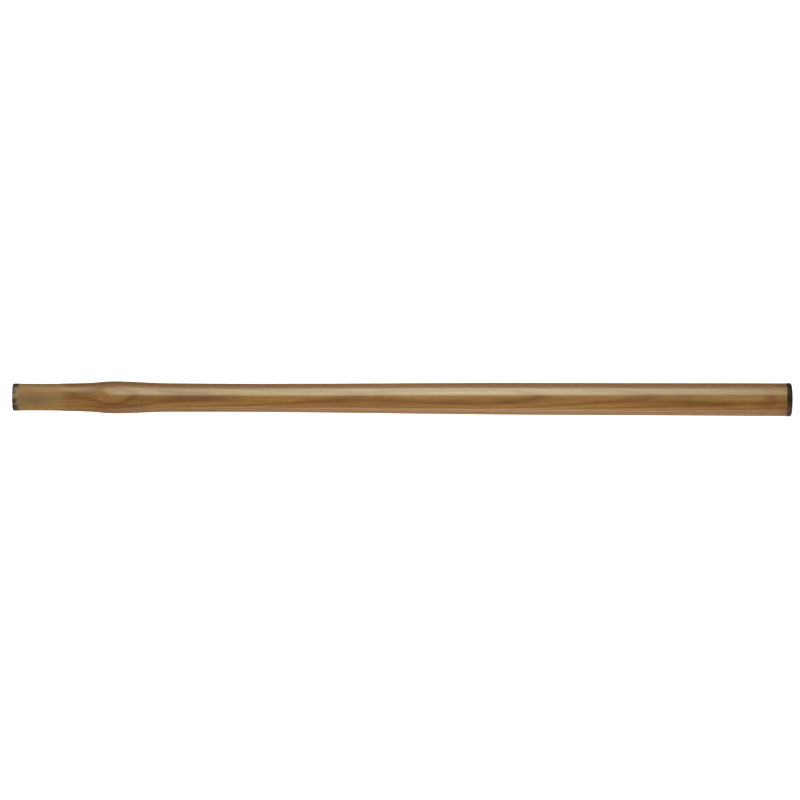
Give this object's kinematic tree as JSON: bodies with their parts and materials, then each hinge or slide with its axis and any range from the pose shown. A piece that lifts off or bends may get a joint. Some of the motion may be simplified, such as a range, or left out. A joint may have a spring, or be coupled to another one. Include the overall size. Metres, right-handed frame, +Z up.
{
  "type": "splitting maul handle",
  "caption": "Straight wooden splitting maul handle: a flat-sided tenon with a wedge kerf, a swell that stops the head, an oval grip and dark sealed ends.",
  "frame": {"origin": "on the surface that the handle lies on, below the middle of its length and width", "axes": "+X runs from the eye end to the butt, +Y across the broad side, +Z up through the thickness"},
  "size_m": [0.915, 0.0395, 0.033],
  "materials": {
    "lacquered_hickory": "hickory under a clear glossy lacquer",
    "end_seal": "dark brown dipped end sealer"
  },
  "bodies": {
    "root": {"handle": "lacquered_hickory", "butt_end_seal": "end_seal", "eye_end_seal": "end_seal"}
  },
  "joints": []
}
